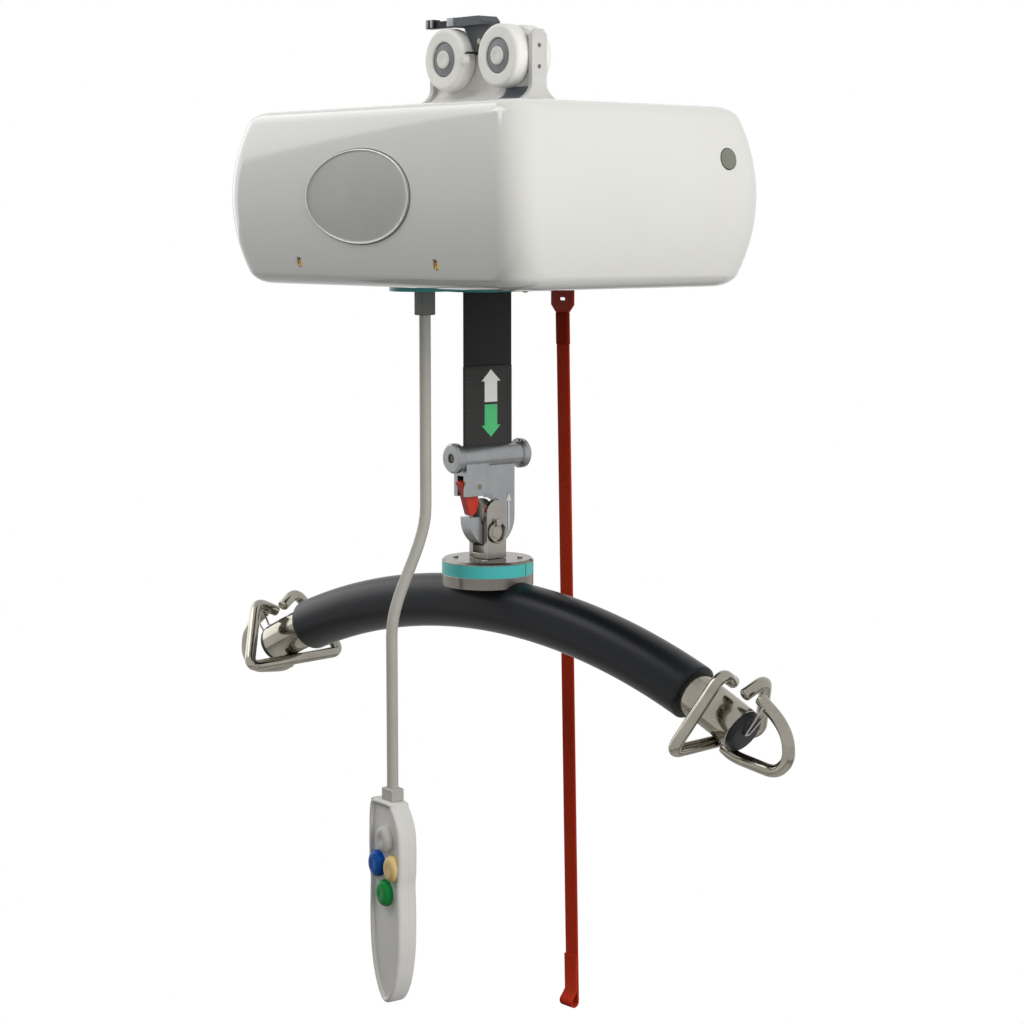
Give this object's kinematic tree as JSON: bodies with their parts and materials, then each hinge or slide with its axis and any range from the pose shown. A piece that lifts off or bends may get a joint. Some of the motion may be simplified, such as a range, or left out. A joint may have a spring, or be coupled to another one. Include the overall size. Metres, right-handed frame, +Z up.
{
  "type": "ceiling track hoist",
  "caption": "Ceiling track patient hoist: wheeled trolley, bulged casing, lift strap with hook, swivelling spreader bar with sling hooks, corded handset and emergency pull strap.",
  "frame": {"origin": "middle of the four trolley wheels, at axle height", "axes": "+X along the track, +Z up, badge side faces -Y"},
  "size_m": [0.618, 0.2612, 0.8233],
  "materials": {
    "casing_shell": "smooth off-white moulded casing",
    "teal_plastic": "satin teal moulding",
    "teal_band": "printed teal band, left plain",
    "badge_metal": "satin silver, bare",
    "brass_screw": "dull brass",
    "lens_smoke": "olive-grey lens",
    "frame_steel": "zinc-plated sheet",
    "bearing_steel": "ground steel",
    "cast_light": "light satin casting",
    "motor_paint": "dark grey paint",
    "battery_case": "dark moulded case",
    "board_green": "printed board",
    "liner_dark": "dark moulded liner",
    "small_screw": "zinc-plated",
    "axle_white": "white capped axle",
    "bearing_seal": "grey bearing seal",
    "wheel_white": "off-white nylon",
    "pickup_dark": "dark moulding",
    "contact_black": "black with grey contacts",
    "strap_black": "black webbing",
    "hanger_grey": "satin grey casting",
    "pin_steel": "dark steel",
    "latch_pin_olive": "greenish grey",
    "latch_red": "red moulding",
    "nickel": "warm nickel",
    "nickel_rod": "polished warm nickel",
    "sleeve_rubber": "smooth black sleeve",
    "cap_black": "black plug",
    "plug_grey": "dark grey moulding",
    "cord_grey": "light grey cord",
    "handset_grey": "light grey moulding",
    "button_grey": "pale grey key",
    "button_blue": "blue key",
    "button_sand": "sand key",
    "button_green": "green key",
    "pull_red": "red webbing",
    "pull_tab_red": "red moulding"
  },
  "bodies": {
    "hoist": {"casing_cover": "casing_shell", "casing_base": "casing_shell", "exit_plate": "teal_plastic", "badge": "badge_metal", "cover_screws": "brass_screw", "indicator_lamps": "lens_smoke", "chassis_frame": "frame_steel", "drum_bearings": "bearing_steel", "gearbox": "cast_light", "motor": "motor_paint", "battery_packs": "battery_case", "control_board": "board_green", "trolley_frame": "cast_light", "saddle_liner": "liner_dark", "end_plates": "cast_light", "trolley_screws": "small_screw", "wheel_axles": "axle_white", "wheel_bearings": "bearing_seal", "pickup_body": "pickup_dark", "pickup_arm": "contact_black", "cord_plug": "plug_grey", "handset_cord": "cord_grey", "cord_grip": "handset_grey", "handset_front": "handset_grey", "handset_back": "handset_grey", "handset_board": "board_green"},
    "front_left_wheel": {"wheel_front_left": "wheel_white"},
    "front_right_wheel": {"wheel_front_right": "wheel_white"},
    "back_left_wheel": {"wheel_back_left": "wheel_white"},
    "back_right_wheel": {"wheel_back_right": "wheel_white"},
    "drum_unit": {"drum": "cast_light", "strap_coil": "strap_black", "drum_shaft": "bearing_steel"},
    "hanger": {"lift_strap": "strap_black", "strap_end": "strap_black", "hanger_body": "hanger_grey", "strap_pin": "pin_steel", "latch_pin": "latch_pin_olive"},
    "latch": {"hook_latch": "latch_red"},
    "fork": {"swivel_fork": "nickel", "fork_pin": "nickel", "split_ring": "nickel", "swivel_nut": "bearing_steel"},
    "spreader": {"swivel_disc": "nickel", "load_band": "teal_band", "disc_screws": "small_screw", "spreader_tube": "nickel", "spreader_sleeve": "sleeve_rubber", "end_caps": "cap_black", "axial_hooks": "nickel_rod", "side_hooks": "nickel_rod"},
    "right_gate": {"gate_right": "nickel_rod"},
    "left_gate": {"gate_left": "nickel_rod"},
    "top_button": {"button_top": "button_grey"},
    "left_button": {"button_left": "button_blue"},
    "right_button": {"button_right": "button_sand"},
    "bottom_button": {"button_bottom": "button_green"},
    "pull": {"pull_tab": "pull_tab_red", "pull_strap": "pull_red"}
  },
  "joints": [
    {"name": "front_left_spin", "type": "hinge", "parent": "hoist", "child": "front_left_wheel", "pos_m": [-0.03275, 0, 0], "axis": [0, 1, 0], "continuous": true},
    {"name": "front_right_spin", "type": "hinge", "parent": "hoist", "child": "front_right_wheel", "pos_m": [0.03275, 0, 0], "axis": [0, 1, 0], "continuous": true},
    {"name": "back_left_spin", "type": "hinge", "parent": "hoist", "child": "back_left_wheel", "pos_m": [-0.03275, 0, 0], "axis": [0, 1, 0], "continuous": true},
    {"name": "back_right_spin", "type": "hinge", "parent": "hoist", "child": "back_right_wheel", "pos_m": [0.03275, 0, 0], "axis": [0, 1, 0], "continuous": true},
    {"name": "lift", "type": "slide", "parent": "hoist", "child": "hanger", "axis": [0, 0, 1], "range_m": [-1.75, 0.055], "deforming": ["lift_strap"]},
    {"name": "drum_turn", "type": "hinge", "parent": "hoist", "child": "drum_unit", "pos_m": [0.0415, 0, -0.106], "axis": [0, 1, 0], "range_deg": [-2600, 90]},
    {"name": "latch_swing", "type": "hinge", "parent": "hanger", "child": "latch", "pos_m": [0, -0.015, -0.3377], "axis": [1, 0, 0], "range_deg": [0, 30], "stiffness_Nm_per_rad": 0.02, "springref_deg": -17.19},
    {"name": "fork_tilt", "type": "hinge", "parent": "hanger", "child": "fork", "pos_m": [0, 0, -0.375], "axis": [1, 0, 0], "range_deg": [-8, 8]},
    {"name": "swivel", "type": "hinge", "parent": "fork", "child": "spreader", "pos_m": [0, 0, -0.407], "axis": [0, 0, 1], "range_deg": [-50, 35]},
    {"name": "right_gate_swing", "type": "hinge", "parent": "spreader", "child": "right_gate", "pos_m": [0.28532, 0.02496, -0.47829], "axis": [0.0872, -0.9962, 0], "range_deg": [0, 40], "stiffness_Nm_per_rad": 0.005, "springref_deg": -17.19},
    {"name": "left_gate_swing", "type": "hinge", "parent": "spreader", "child": "left_gate", "pos_m": [-0.28532, -0.02496, -0.47829], "axis": [-0.0872, 0.9962, 0], "range_deg": [0, 40], "stiffness_Nm_per_rad": 0.005, "springref_deg": -17.19},
    {"name": "top_press", "type": "slide", "parent": "hoist", "child": "top_button", "axis": [0.0872, 0.9962, 0], "range_m": [0, 0.002], "stiffness_N_per_m": 400, "springref_m": -0.001},
    {"name": "left_press", "type": "slide", "parent": "hoist", "child": "left_button", "axis": [0.0872, 0.9962, 0], "range_m": [0, 0.002], "stiffness_N_per_m": 400, "springref_m": -0.001},
    {"name": "right_press", "type": "slide", "parent": "hoist", "child": "right_button", "axis": [0.0872, 0.9962, 0], "range_m": [0, 0.002], "stiffness_N_per_m": 400, "springref_m": -0.001},
    {"name": "bottom_press", "type": "slide", "parent": "hoist", "child": "bottom_button", "axis": [0.0872, 0.9962, 0], "range_m": [0, 0.002], "stiffness_N_per_m": 400, "springref_m": -0.001},
    {"name": "emergency_pull", "type": "slide", "parent": "hoist", "child": "pull", "axis": [0, 0, -1], "range_m": [0, 0.012], "stiffness_N_per_m": 1500, "springref_m": -0.002}
  ],
  "couplings": [
    {"joint": "drum_turn", "follows": "lift", "rad_per_m": 25.7}
  ]
}
